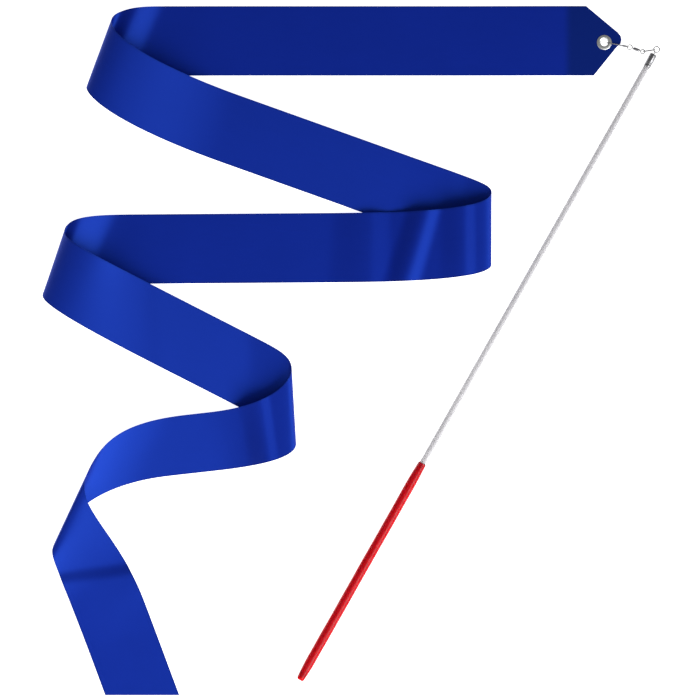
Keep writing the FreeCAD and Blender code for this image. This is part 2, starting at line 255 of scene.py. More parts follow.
def satin():
    """Blue satin: long warp threads along the ribbon, a denser selvedge, and painted shade where it is
    doubled, for the light that two layers let through less.
    """
    material, nodes, links, shader = new_material("satin")
    uv = nodes.new("ShaderNodeUVMap")
    uv.uv_map = "cloth"
    place_on_cloth = uv.outputs["UV"]
    threads = add_noise(nodes, links, add_mapping(nodes, links, place_on_cloth, WARP_THREADS), 1.0, 2.0)
    cross = add_noise(nodes, links, add_mapping(nodes, links, place_on_cloth, CROSS_THREADS), 1.0, 1.0)
    cloudy = add_noise(nodes, links, add_mapping(nodes, links, place_on_cloth, CLOUDS), 1.0, 3.0)
    # Painted shade: a factor per point, below 1 on the doubled end and its crease, multiplied into the
    # colour.
    painted_shade = nodes.new("ShaderNodeVertexColor")
    painted_shade.layer_name = "painted_shade"
    plain = add_mix(nodes, links, cloudy, SATIN_DARK, SATIN_LIGHT)
    fine = add_mix(nodes, links, threads, SATIN_THREAD, plain)
    painted_shade_mix = nodes.new("ShaderNodeMix")
    painted_shade_mix.data_type = "RGBA"
    painted_shade_mix.blend_type = "MULTIPLY"
    painted_shade_mix.inputs[0].default_value = 1.0
    links.new(add_selvedge(nodes, links, place_on_cloth, fine), painted_shade_mix.inputs[6])
    links.new(painted_shade.outputs["Color"], painted_shade_mix.inputs[7])
    links.new(painted_shade_mix.outputs[2], shader.inputs["Base Color"])
    links.new(add_range(nodes, links, threads, *SATIN_ROUGH), shader.inputs["Roughness"])
    shader.inputs["IOR"].default_value = SATIN_IOR
    shader.inputs["Specular IOR Level"].default_value = SATIN_LEVEL
    shader.inputs["Specular Tint"].default_value = (*SATIN_TINT, 1)
    shader.inputs["Anisotropic"].default_value = SATIN_ANISO
    along = nodes.new("ShaderNodeTangent")
    along.direction_type = "UV_MAP"
    along.uv_map = "cloth"
    links.new(along.outputs["Tangent"], shader.inputs["Tangent"])
    shader.inputs["Sheen Weight"].default_value = 0.03
    shader.inputs["Sheen Roughness"].default_value = 0.4
    shader.inputs["Sheen Tint"].default_value = (0.15, 0.4, 1.0, 1)
    both = nodes.new("ShaderNodeMath")
    both.operation = "ADD"
    links.new(threads, both.inputs[0])
    links.new(cross, both.inputs[1])
    add_bump(nodes, links, both.outputs["Value"], 0.25, THREAD_BUMP, shader)
    return material


def plastic(name, dark, light, roughness, level, grain, glow):
    """Smooth plastic that light goes a little way into, with faint lines along it and fine scuffs.

    glow is how far red, green and blue light travel inside it, in millimetres."""
    material, nodes, links, shader = new_material(name)
    coordinates = nodes.new("ShaderNodeTexCoord").outputs["Object"]
    turn = nodes.new("ShaderNodeMapping")
    turn.inputs["Rotation"].default_value = (0, 0, -math.radians(WAND_ANGLE))
    links.new(coordinates, turn.inputs["Vector"])
    lines = add_mapping(nodes, links, turn.outputs["Vector"], DRAWN_LINES)
    along = add_noise(nodes, links, lines, 1.0, 3.0)
    scuffs = add_noise(nodes, links, coordinates, SCUFF_SCALE, 6.0, 0.65)
    links.new(add_mix(nodes, links, along, dark, light), shader.inputs["Base Color"])
    rough = add_range(nodes, links, scuffs, roughness - 0.07, roughness + 0.08)
    links.new(rough, shader.inputs["Roughness"])
    shader.inputs["Specular IOR Level"].default_value = level
    shader.inputs["Subsurface Weight"].default_value = 1.0
    shader.inputs["Subsurface Radius"].default_value = glow
    shader.inputs["Subsurface Scale"].default_value = MM
    add_bump(nodes, links, along, 0.15, grain, shader)
    return material


def metal(name, dark, light, roughness):
    """Plated steel with fine scratches and slightly duller patches."""
    material, nodes, links, shader = new_material(name)
    coordinates = nodes.new("ShaderNodeTexCoord").outputs["Object"]
    patches = add_noise(nodes, links, coordinates, PATCH_SCALE, 5.0, 0.6)
    stretched = add_mapping(nodes, links, coordinates, SCRATCH_STRETCH)
    scratches = add_noise(nodes, links, stretched, SCRATCH_SCALE, 3.0)
    links.new(add_mix(nodes, links, patches, dark, light), shader.inputs["Base Color"])
    rough = add_range(nodes, links, scratches, roughness - 0.06, roughness + 0.12)
    links.new(rough, shader.inputs["Roughness"])
    shader.inputs["Metallic"].default_value = 1.0
    add_bump(nodes, links, scratches, 0.12, SCRATCH_BUMP, shader)
    return material


SATIN = satin()
GRIP_RED = plastic("grip_red", (0.40, 0.002, 0.006), (0.52, 0.004, 0.010),
                   0.26, 0.12, 0.00012, (8.0, 1.2, 1.0))
ROD_WHITE = plastic("rod_white", (0.285, 0.280, 0.290), (0.345, 0.340, 0.350),
                    0.5, 0.1, 0.00005, (14.0, 14.0, 14.0))
CHROME = metal("chrome", (0.20, 0.20, 0.21), (0.34, 0.34, 0.35), 0.28)
WIRE = metal("wire_steel", (0.16, 0.16, 0.165), (0.30, 0.30, 0.305), 0.34)
NICKEL = metal("nickel", (0.52, 0.53, 0.52), (0.70, 0.72, 0.70), 0.30)


# ------------------------------------------------------------------ wand
# Distances along the stick are measured from the grip's closed end.
WAND_END = Vector((-37.2, -237.0, 3.5))
WAND_DIRECTION = heading(WAND_ANGLE)
GRIP_RADIUS = 3.5
NOSE_END = 1.6
NOSE_RADIUS = 2.75
TAPER_END = 18.0
MOUTH_START = 162.0
MOUTH_LENGTH = 16.8
MOUTH_DROP = 0.62                       # how much thinner the grip is at its mouth
GRIP_BORE_END = 3.0
ROD_RADIUS = 2.3
ROD_PLAY = 0.02
ROD_START = 3.05
ROD_STRAIGHT = (4.0, 511.0)
ROD_END = 511.4
ROD_CHAMFER = 0.3
FERRULE_START = 507.2
FERRULE_END = 517.4
FERRULE_RADIUS = 2.6
FERRULE_SHOULDER = 511.5                # where the cap's bore narrows beyond the rod
FERRULE_INNER_RADIUS = 1.6
FERRULE_END_WALL = 1.0
GROOVES = (2.0, 3.2)                    # middles of the crimped grooves, from the cap's mouth
GROOVE_HALF_WIDTH = 0.4
GROOVE_DEPTH = 0.16
EYE_CENTRE = 521.3
EYE_RADIUS = 2.1
EYE_WIRE = 0.42
EYE_HEAD_DEPTH = 1.25                   # how far inside the cap's end the shank's head starts
EYE_HEAD_SIZE = 1.2                     # its radius and its length
SHANK_PART = 0.85                       # a shank's radius, beside its wire's
SHANK_PLAY = 0.06


def on_wand(distance):
    return WAND_END + WAND_DIRECTION * distance


def arc_points(centre, radius, start, stop, count):
    """Outline points on an arc, in (distance along, radius) terms. Angles in degrees."""
    points = []
    for i in range(count + 1):
        angle = math.radians(start + (stop - start) * i / count)
        points.append((centre[0] + radius * math.cos(angle), centre[1] + radius * math.sin(angle)))
    return points


def grip_wobble(along, angle):
    """A soft sleeve is never perfectly even."""
    fade = smooth_step(along, 4, 20) * (1 - smooth_step(along, 165, 178))
    oval = math.sin(along * 0.21) * math.cos(angle * 2 + 0.4)
    bent = math.sin(along * 0.083 + angle)
    return fade * 0.03 * (oval + bent - 1)


def make_grip():
    """A sleeve with a rounded nose, a short taper, a long straight part and a rounded mouth."""
    outline = [(0.0, 0.0), (0.03, 0.7)]
    outline += arc_points((NOSE_END, NOSE_RADIUS - NOSE_END), NOSE_END, 176, 92, 7)
    for i in range(1, 9):
        t = i / 8
        swell = (GRIP_RADIUS - NOSE_RADIUS) * math.sin(t * math.pi / 2)
        outline.append((NOSE_END + (TAPER_END - NOSE_END) * t, NOSE_RADIUS + swell))
    for i in range(1, 48):
        outline.append((TAPER_END + (MOUTH_START - TAPER_END) * i / 48, GRIP_RADIUS))
    for i in range(9):
        t = i / 8
        drop = MOUTH_DROP * (1 - math.cos(t * math.pi / 2))
        outline.append((MOUTH_START + MOUTH_LENGTH * t, GRIP_RADIUS - drop))
    outline += arc_points((178.9, 2.52), 0.36, 85, 0, 5)
    outline += [(179.2, 2.42), (178.7, ROD_RADIUS + 0.02), (178.0, ROD_RADIUS)]
    outline += [(GRIP_BORE_END, ROD_RADIUS), (GRIP_BORE_END, 0)]
    return lathe("grip_sleeve", outline, WAND_END, WAND_DIRECTION, GRIP_RED, 72, grip_wobble)


def make_rod():
    radius = ROD_RADIUS - ROD_PLAY
    first, last = ROD_STRAIGHT
    outline = [(ROD_START, 0), (ROD_START, ROD_RADIUS - ROD_CHAMFER), (3.3, radius)]
    for i in range(60):
        outline.append((first + (last - first) * i / 59, radius))
    outline += [(ROD_END, ROD_RADIUS - ROD_CHAMFER), (ROD_END, 0)]
    return lathe("rod_shaft", outline, WAND_END, WAND_DIRECTION, ROD_WHITE)


def make_ferrule():
    """A thin drawn cap with a rolled mouth, two crimped grooves and a rounded closed end."""
    hole = EYE_WIRE * SHANK_PART + SHANK_PLAY
    bore = ROD_RADIUS - 0.01
    inner_end = FERRULE_END - FERRULE_END_WALL
    outline = [(FERRULE_START + 0.25, bore)]
    outline += arc_points((FERRULE_START + 0.25, 2.42), 0.18, 250, 90, 6)
    for groove in GROOVES:
        first = FERRULE_START + groove - GROOVE_HALF_WIDTH
        for i in range(9):
            t = i / 8
            depth = GROOVE_DEPTH * math.sin(math.pi * t) ** 2
            outline.append((first + 2 * GROOVE_HALF_WIDTH * t, FERRULE_RADIUS - depth))
    outline += [(FERRULE_END - 1.4, FERRULE_RADIUS)]
    outline += arc_points((FERRULE_END - 0.7, 1.9), 0.7, 90, 0, 8)
    outline += [(FERRULE_END, 1.2), (FERRULE_END - 0.12, 0.75), (FERRULE_END - 0.15, hole)]
    outline += [(inner_end, hole), (inner_end, FERRULE_INNER_RADIUS)]
    outline += [(FERRULE_SHOULDER, FERRULE_INNER_RADIUS), (FERRULE_SHOULDER, bore)]
    return lathe("ferrule_cap", outline, WAND_END, WAND_DIRECTION, CHROME)


def circle_points(centre, radius, count):
    points = []
    for i in range(count):
        angle = 2 * math.pi * i / count
        points.append(centre + Vector((math.cos(angle) * radius, math.sin(angle) * radius, 0)))
    return points


def eye_with_shank(name, centre, radius, wire, inward, shank_end, head_radius, head_length, material):
    """A ring of wire on a shank with an upset head, as it is bent and headed from one wire."""
    ring = wire_loop(name, circle_points(centre, radius, 48), wire, material, 18)
    start = centre + inward * (radius - wire * 0.2)
    length = (shank_end - start).length
    neck = wire * SHANK_PART
    outline = [(0, 0), (0, neck * 1.5), (0.25, neck * 1.15), (0.5, neck), (length, neck)]
    outline += [(length, head_radius * 0.9), (length + head_length * 0.15, head_radius)]
    outline += [(length + head_length * 0.8, head_radius), (length + head_length, head_radius * 0.8)]
    outline += [(length + head_length, 0)]
    shank = lathe(name + "_shank", outline, start, inward, material, 24)
    return join(ring, shank)


def make_tip_eye():
    head_top = on_wand(FERRULE_END - EYE_HEAD_DEPTH)
    return eye_with_shank("tip_eye_wire", on_wand(EYE_CENTRE), EYE_RADIUS, EYE_WIRE,
                          -WAND_DIRECTION, head_top, EYE_HEAD_SIZE, EYE_HEAD_SIZE, WIRE)


# ------------------------------------------------------------------ swivel and snap
RING_WIRE = 0.38
RING_HALF_HEIGHT = 1.45
RING_ENDS = (Vector((218.4, 216.55, 3.45)), Vector((210.1, 215.35, 2.0)))
NEAR_EYE = Vector((209.6, 215.2, 2.0))
NEAR_EYE_RADIUS = 1.5
FAR_EYE = Vector((200.3, 218.4, 2.0))
FAR_EYE_RADIUS = 1.75
SWIVEL_WIRE = 0.34
SWIVEL_HEAD_RADIUS = 0.72
SWIVEL_HEAD_LENGTH = 0.6
BARREL_RADIUS = 1.2
BARREL_LENGTH = 5.0
BARREL_NOSE = 0.8                       # thickness of each closed-in end
BARREL_WALL = 0.35
# Distance along the barrel, and its radius there as a share of the full one.
BARREL_PROFILE = [
    (0.0, 0.5), (0.05, 0.62), (0.25, 0.75), (0.5, 0.9), (0.8, 0.98), (1.1, 1.0), (1.5, 0.94),
    (2.0, 0.985), (2.5, 1.0), (3.0, 0.985), (3.5, 0.94), (3.9, 1.0), (4.2, 0.98), (4.5, 0.9),
    (4.75, 0.75), (4.95, 0.62), (5.0, 0.5),
]
SNAP_WIRE = 0.34
SNAP_ENDS = (Vector((199.6, 218.5, 2.2)), Vector((183.7, 221.6, 2.2)))
SNAP_HALF_HEIGHT = 1.8
CLASP_LENGTH = 3.0
CLASP_FROM_END = 1.8
CLASP_LOW = 0.3
CLASP_TOP = 4.65
CLASP_SHEET = 0.25
LOOP_STRAIGHT = 24                      # points along each side of a wire loop
LOOP_BEND = 16                          # and round each of its ends


def upright_loop(ends, half_height):
    """Points round a closed wire loop in an upright plane."""
    first, second = ends
    along = (second - first).normalized()
    across = (UP - along * UP.dot(along)).normalized()
    start = first + along * half_height
    stop = second - along * half_height
    points = []
    for origin, goal, side in ((start, stop, 1), (stop, start, -1)):
        for i in range(LOOP_STRAIGHT):
            points.append(origin.lerp(goal, i / LOOP_STRAIGHT) + across * (side * half_height))
        for i in range(LOOP_BEND):
            angle = math.pi * i / LOOP_BEND
            rise = across * (side * math.cos(angle) * half_height)
            points.append(goal + rise + along * (side * math.sin(angle) * half_height))
    return points


def swivel_axis():
    return (FAR_EYE - NEAR_EYE).normalized()


def barrel_ends():
    axis = swivel_axis()
    middle = (NEAR_EYE + FAR_EYE) * 0.5 + axis * ((NEAR_EYE_RADIUS - FAR_EYE_RADIUS) / 2)
    return middle - axis * (BARREL_LENGTH / 2), middle + axis * (BARREL_LENGTH / 2)


def make_barrel():
    """A spun shell, closed in at both ends over the heads of the two eyes."""
    near, far = barrel_ends()
    bore = SWIVEL_WIRE * SHANK_PART + SHANK_PLAY
    inner = BARREL_RADIUS - BARREL_WALL
    inner_end = BARREL_LENGTH - BARREL_NOSE
    outline = [(0.0, bore)]
    outline += [(along, BARREL_RADIUS * share) for along, share in BARREL_PROFILE]
    outline += [(BARREL_LENGTH, bore), (inner_end, bore)]
    outline += [(inner_end, inner), (BARREL_NOSE, inner), (BARREL_NOSE, bore)]
    return lathe("swivel_shell", outline, near, (far - near).normalized(), CHROME, 40)


def make_swivel_eye(name, centre, radius, barrel_end, inward):
    shank_end = barrel_end + inward * (BARREL_NOSE + 0.15)
    return eye_with_shank(name, centre, radius, SWIVEL_WIRE, inward, shank_end,
                          SWIVEL_HEAD_RADIUS, SWIVEL_HEAD_LENGTH, WIRE)


def make_clasp():
    """A strip folded over both legs of the snap, rounded on top and slightly swollen midway."""
    start, end = SNAP_ENDS
    along = Vector((end.x - start.x, end.y - start.y, 0)).normalized()
    side = UP.cross(along)
    base = Vector((start.x, start.y, 0)) + along * CLASP_FROM_END
    inside = SNAP_WIRE + 0.05
    outside = inside + CLASP_SHEET
    profile = [(outside, CLASP_LOW)]
    middle = CLASP_TOP - outside
    for i in range(9):
        angle = math.pi * i / 8
        profile.append((outside * math.cos(angle), middle + outside * math.sin(angle)))
    profile += [(-outside, CLASP_LOW), (-outside * 0.9, CLASP_LOW - 0.06), (-inside, CLASP_LOW)]
    for i in range(9):
        angle = math.pi * (1 - i / 8)
        profile.append((inside * math.cos(angle), middle + inside * 0.95 * math.sin(angle)))
    profile += [(inside, CLASP_LOW), (outside * 0.9, CLASP_LOW - 0.06)]
    vertices = []
    steps = 12
    for s in range(steps + 1):
        t = s / steps
        swell = 1 + 0.05 * math.sin(math.pi * t) ** 2
        for x, z in profile:
            wide = x * swell if abs(x) > inside + 0.01 else x
            vertices.append(base + along * (CLASP_LENGTH * t) + side * wide + UP * z)
    count = len(profile)
    faces = []
    for s in range(steps):
        for i in range(count):
            j = (i + 1) % count
            faces.append((s * count + i, s * count + j, (s + 1) * count + j, (s + 1) * count + i))
    faces.append(tuple(range(count)))
    faces.append(tuple(range(steps * count, (steps + 1) * count)))
    return make_object("snap_clasp_fold", vertices, faces, CHROME, smooth=False)


# ------------------------------------------------------------------ ribbon
CLOTH = 0.4                             # thickness of the cloth
FLOOR = CLOTH / 2 + 0.04                # height of the middle of cloth that lies flat
TIP_HEIGHT = 2.4                        # and of the doubled end, which the eyelet holds up
TIP_X = 194.3
TIP_SECTIONS = 40
DOUBLED_FROM = 158.7
TIP_SLOPE_END = 60.0
LIFT = 38.0                             # how far from a fold the cloth starts to rise to it
BEND = 6.0                              # how far from a fold its steep last part starts
SLOW_PART = 0.75                        # share of the rise that comes before the steep part
CREST = [22.0, 3.5, 24.0, 3.0, 3.0]     # distance from each fold to its highest place
AT_ONCE = [0.0, 0.0, 0.0, 0.0, 1.0]     # 1 where the cloth drops quickly behind the crest, 0 gently
RIBBON_END = -248.0
# A straight part of the ribbon: a point on its middle line, its heading in degrees and its width.
Run = namedtuple("Run", "x y heading width")
RUNS = [
    Run(13.3, 223.0, 180.0, 50.0),
    Run(-32.8, 140.2, -19.6, 49.6),
    Run(-74.1, 73.7, 180.4, 50.0),
    Run(-115.7, 5.2, -27.1, 50.0),
    Run(-99.0, -65.2, 186.4, 42.4),
    Run(-161.9, -217.6, -69.6, 50.0),
]
# One edge of a fold: its turning point; how far before it the edge leaves the run; the curve's
# pulls into the turn, along the fold and out of it; how far beyond it the edge joins the next run;
# the heights at the turn, at the crest and at rest; and where the rest is reached, as a share.
Turn = namedtuple("Turn", "x y reach_in pull_in slide pull_out reach_out middle crest rest down")
# Each fold is a pair: the upper edge's turn, then the lower edge's.
FOLDS = [
    (Turn(-172.7, 238.8, 40, 30, 4, 98, 105, 11.0, 21.0, 5.5, 1.0),
     Turn(-190.9, 190.2, 40, 30, 2, 100, 110, 10.0, 18.5, 5.5, 1.0)),
    (Turn(101.3, 113.9, 40, 36, 4, 92, 96, 9.0, 13.5, 1.1, 1.0),
     Turn(101.4, 62.1, 40, 30, 3, 100, 103, 8.0, 11.5, 1.1, 1.0)),
    (Turn(-206.8, 85.5, 45, 45, 5, 48, 76, 11.0, 22.0, 9.5, 1.0),
     Turn(-222.1, 41.2, 40, 30, 4, 92, 98, 10.0, 19.5, 8.0, 1.0)),
    (Turn(-42.6, -12.4, 40, 27, 9, 46, 62, 9.5, 13.0, 5.0, 1.0),
     Turn(-39.3, -67.2, 40, 30, 9, 32, 58, 8.0, 11.5, 1.1, 1.0)),
    (Turn(-190.8, -90.2, 76, 54, 22, 50, 98, 11.5, 13.5, 0.6, 0.8),
     Turn(-214.3, -140.6, 88, 70, 7, 72, 83, 8.0, 10.0, 0.6, 0.5)),
]
LEANING = 4                             # the fold whose incoming upper edge leans on the run above
LEAN_START = 5.0
LEAN_END = 7.0
STEP = 2.0                              # distance between sections along the cloth
ACROSS = 20                             # cells across the cloth
FINE = 120                              # steps along each curve before it is made even
SMOOTHING_PASSES = 6
RIPPLE_FADE = 30.0                      # distance beyond the doubled end over which ripples start
DOUBLED_PAINTED_SHADE = 0.40                     # painted shade on the doubled end, as a share of the single cloth's colour: two layers let less light through from below
PAINTED_SHADE_FADE = 7.0                         # distance over which that painted shade fades into the single cloth's own colour
INSET = 0.08                            # depth of the crease between the doubled end's layers
PLATE_RINGS = 7                         # rings of cells between the eyelet and the end's outline
EYELET_CENTRE = Vector((181.9, 221.8, 0))
EYELET_HOLE = 2.65
EYELET_BARREL = 2.95


def run_edge(index, upper):
    run = RUNS[index]
    along = heading(run.heading)
    left = UP.cross(along)
    side = 1 if upper == (index % 2 == 1) else -1
    return Vector((run.x, run.y, 0)) + left * (side * run.width / 2), along


def bezier(points, t):
    a, b, c, d = points
    s = 1 - t
    return a * (s ** 3) + b * (3 * s * s * t) + c * (3 * s * t * t) + d * (t ** 3)


def quarter(fraction):
    """A quarter circle's height, from 0 at 0 to 1 at 1, upright at its start."""
    fraction = min(max(fraction, 0.0), 1.0)
    return math.sqrt(1 - (1 - fraction) ** 2)


def lower_rise(distance):
    """How far the cloth has risen to a fold it runs into, from 0 to 1."""
    slow = max(1 - distance / LIFT, 0.0) ** 2
    return SLOW_PART * slow + (1 - SLOW_PART) * (1 - quarter(distance / BEND))


def fold_line(index):
    upper, lower = FOLDS[index]
    return Vector((lower.x - upper.x, lower.y - upper.y, 0)).normalized()


def distance_from_fold(index, point):
    upper = FOLDS[index][0]
    return abs((point - Vector((upper.x, upper.y, 0))).cross(fold_line(index)).z)


def lean(share):
    """Height of the leaning run's upper edge on its way to the last fold."""
    return LEAN_START + (LEAN_END - LEAN_START) * (1 - math.cos(math.pi * share)) / 2


def edge_before(index, upper):
    """Points of one edge from its straight run to the fold's turning point."""
    turn = FOLDS[index][0 if upper else 1]
    base, along = run_edge(index, upper)
    at_turn = Vector((turn.x, turn.y, 0))
    leave = base + along * ((at_turn - base).dot(along) - turn.reach_in)
    controls = [leave, leave + along * turn.pull_in, at_turn - fold_line(index) * turn.slide, at_turn]
    points = []
    for step in range(FINE + 1):
        point = bezier(controls, step / FINE)
        low = lean(step / FINE) if upper and index == LEANING else FLOOR
        rise = lower_rise(distance_from_fold(index, point))
        points.append(Vector((point.x, point.y, low + (turn.middle - low) * rise)))
    return points


def fall(index, share):
    """How far the cloth has come down behind a fold's crest, from 0 to 1."""
    gentle = (1 - math.cos(math.pi * share)) / 2
    quick = 1 - (1 - share) ** 1.5
    return gentle + (quick - gentle) * AT_ONCE[index]


def edge_after(index, upper):
    """Points of one edge from the fold's turning point, over the crest, to the next run."""
    turn = FOLDS[index][0 if upper else 1]
    base, along = run_edge(index + 1, upper)
    at_turn = Vector((turn.x, turn.y, 0))
    join_at = base + along * ((at_turn - base).dot(along) + turn.reach_out)
    controls = [at_turn, at_turn + fold_line(index) * turn.slide, join_at - along * turn.pull_out, join_at]
    crest_at = CREST[index]
    down_at = distance_from_fold(index, join_at) * turn.down
    points = []
    for step in range(FINE + 1):
        point = bezier(controls, step / FINE)
        away = distance_from_fold(index, point)
        if away < crest_at:
            height = turn.middle + (turn.crest - turn.middle) * quarter(away / crest_at)
        else:
            share = min((away - crest_at) / (down_at - crest_at), 1.0)
            height = turn.crest + (turn.rest - turn.crest) * fall(index, share)
        points.append(Vector((point.x, point.y, height)))
    return points


def path_length(upper, lower):
    middles = [(a + b) * 0.5 for a, b in zip(upper, lower)]
    return sum((after - before).length for before, after in zip(middles, middles[1:]))


def resample(upper, lower, step):
    """Even sections along the cloth's middle line, from finely spaced ones."""
    travelled = [0.0]
    for i in range(1, len(upper)):
        before = (upper[i - 1] + lower[i - 1]) * 0.5
        after = (upper[i] + lower[i]) * 0.5
        travelled.append(travelled[-1] + (after - before).length)
    count = max(2, round(travelled[-1] / step))
    result = []
    i = 0
    for number in range(count + 1):
        goal = travelled[-1] * number / count
        while i < len(travelled) - 2 and travelled[i + 1] < goal:
            i += 1
        share = (goal - travelled[i]) / max(travelled[i + 1] - travelled[i], 1e-9)
        result.append((upper[i].lerp(upper[i + 1], share), lower[i].lerp(lower[i + 1], share)))
    return result


def ribbon_sections():
    """Edge points (upper, lower) of the cloth's middle surface, evenly spaced."""
    half = RIBBON_WIDTH / 2
    y = RUNS[0].y
    upper, lower = [], []
    for i in range(TIP_SECTIONS + 1):
        t = i / TIP_SECTIONS
        x = DOUBLED_FROM + (TIP_SLOPE_END - DOUBLED_FROM) * t
        height = FLOOR + (TIP_HEIGHT - FLOOR) * (1 + math.cos(math.pi * t)) / 2
        upper.append(Vector((x, y + half, height)))
        lower.append(Vector((x, y - half, height)))
    turns = []
    for index in range(len(FOLDS)):
        for pick in (edge_before, edge_after):
            upper += pick(index, True)
            lower += pick(index, False)
            if pick is edge_before:
                turns.append(path_length(upper, lower))
    for is_upper, edge in ((True, upper), (False, lower)):
        base, along = run_edge(len(RUNS) - 1, is_upper)
        edge.append(base + along * ((RIBBON_END - base.y) / along.y) + UP * FLOOR)
    sections = resample(upper, lower, STEP)
    for _ in range(SMOOTHING_PASSES):
        sections = [sections[0]] + [
            tuple(a * 0.25 + b * 0.5 + c * 0.25 for a, b, c in zip(before, here, after))
            for before, here, after in zip(sections, sections[1:], sections[2:])
        ] + [sections[-1]]
    return sections, turns


def ripple(travelled, across):
    """Small waves that cloth keeps after it has been rolled up, in millimetres. Never below 0."""
    slow_drift = 1.3 * math.sin(travelled * 0.017)
    quick_drift = 0.9 * math.sin(travelled * 0.031 + 2.0)
    slow = 0.5 + 0.5 * math.sin(travelled * 0.061 + slow_drift + across * 0.8)
    quick = 0.5 + 0.5 * math.sin(travelled * 0.173 + quick_drift - across * 1.1)
    edge = abs(across - 0.5) * 2
    return 0.16 * slow + 0.06 * quick * (0.4 + 0.6 * edge)


# A deeper wave across the cloth behind a fold: how far behind, how much farther at the lower edge
# than at the upper one, how long it takes to rise and to fall, and its height.
Wave = namedtuple("Wave", "fold behind slant rise fall height")
WAVES = [
    Wave(0, -20, 4, 20, 14, 4.5),
    Wave(1, -38, 0, 35, 14, 1.2),
    Wave(1, 22, -1, 9, 19, 3.5),
    Wave(1, 58, 12, 14, 16, 4.2),
    Wave(1, 91, -5, 17, 30, 5.0),
    Wave(2, -18, 6, 25, 13, 5.0),
    Wave(3, 25, -8, 9, 17, 4.2),
    Wave(4, 50, -28, 12, 48, 3.6),
]


def wave_height(distance, across, turns):
    """Height of the deeper waves at a place on the cloth. Never below 0."""
    total = 0.0
    for wave in WAVES:
        offset = distance - turns[wave.fold] - wave.behind - wave.slant * (across - 0.5)
        reach = wave.rise if offset < 0 else wave.fall
        total += wave.height * smooth_step(1 - abs(offset) / reach, 0, 1)
    return total


def ribbon_grid():
    """Rows of points across the smooth cloth, their distances along it, and those of its folds."""
    sections, turns = ribbon_sections()
    rows = []
    travelled = 0.0
    distances = []
    for i, (upper, lower) in enumerate(sections):
        if i:
            before = (sections[i - 1][0] + sections[i - 1][1]) * 0.5
            travelled += ((upper + lower) * 0.5 - before).length
        distances.append(travelled)
        rows.append([upper.lerp(lower, k / ACROSS) for k in range(ACROSS + 1)])
    return rows, distances, turns


def grid_normals(rows):
    normals = []
    for i, row in enumerate(rows):
        line = []
        before = rows[max(i - 1, 0)]
        after = rows[min(i + 1, len(rows) - 1)]
        for k in range(len(row)):
            along = after[k] - before[k]
            across = row[min(k + 1, ACROSS)] - row[max(k - 1, 0)]
            line.append(along.cross(across).normalized())
        normals.append(line)
    return normals


def tip_outline():
    """The pointed end's outline, counter-clockwise from the lower end of the doubled layer."""
    half = RIBBON_WIDTH / 2
    y = RUNS[0].y
    points = []
    lower_corner = Vector((174.3, y - half, 0))
    upper_corner = Vector((168.8, y + half, 0))
    nose = [Vector((190.4, 217.9, 0)), Vector((193.6, 221.0, 0)), Vector((TIP_X, 223.8, 0)),
            Vector((193.7, 226.4, 0)), Vector((191.8, 228.8, 0))]
    for i in range(8):
        points.append(Vector((DOUBLED_FROM, y - half, 0)).lerp(lower_corner, i / 8))
    for i in range(14):
        points.append(lower_corner.lerp(nose[0], i / 14))
    for first, second in zip(nose, nose[1:]):
        points += [first, first.lerp(second, 0.5)]
    for i in range(14):
        points.append(nose[-1].lerp(upper_corner, i / 14))
    for i in range(6):
        points.append(upper_corner.lerp(Vector((DOUBLED_FROM, y + half, 0)), i / 6))
    return points


class Cloth:
    """The ribbon's mesh while it is built: points, their places on the flat cloth, painted shade factors
    and faces.
    """

    def __init__(self):
        self.points = []
        self.flat = []
        self.painted_shades = []
        self.faces = []

    def add(self, point, along, across, painted_shade):
        """Adds a point. along and across are its place on the flat cloth."""
        self.points.append(point)
        self.flat.append((along * MM, across * MM))
        self.painted_shades.append(painted_shade)
        return len(self.points) - 1


def add_run(cloth, rows, distances):
    """Adds both faces, the edges and the cut end of the single cloth. Returns its first rows."""
    normals = grid_normals(rows)
    upright = 1 if normals[0][0].z > 0 else -1
    top, bottom = [], []
    for i, row in enumerate(rows):
        # Painted shade: the single cloth starts as dark as the doubled end and fades to its own colour.
        painted_shade = DOUBLED_PAINTED_SHADE + (1 - DOUBLED_PAINTED_SHADE) * smooth_step(distances[i], 0, PAINTED_SHADE_FADE)
        for side, store in ((1, top), (-1, bottom)):
            line = []
            for k, point in enumerate(row):
                # The first row is upright, to meet the flat doubled end.
                outwards = UP if i == 0 else normals[i][k] * upright
                offset = outwards * (side * CLOTH / 2)
                line.append(cloth.add(point + offset, distances[i], RIBBON_WIDTH * k / ACROSS, painted_shade))
            store.append(line)
    for i in range(len(rows) - 1):
        for k in range(ACROSS):
            cloth.faces.append((top[i][k], top[i][k + 1], top[i + 1][k + 1], top[i + 1][k]))
            cloth.faces.append((bottom[i][k], bottom[i + 1][k], bottom[i + 1][k + 1], bottom[i][k + 1]))
        for k in (0, ACROSS):
            cloth.faces.append((top[i][k], top[i + 1][k], bottom[i + 1][k], bottom[i][k]))
    last_top, last_bottom = top[-1], bottom[-1]
    for k in range(ACROSS):
        cloth.faces.append((last_top[k], last_top[k + 1], last_bottom[k + 1], last_bottom[k]))
    return top[0], bottom[0]


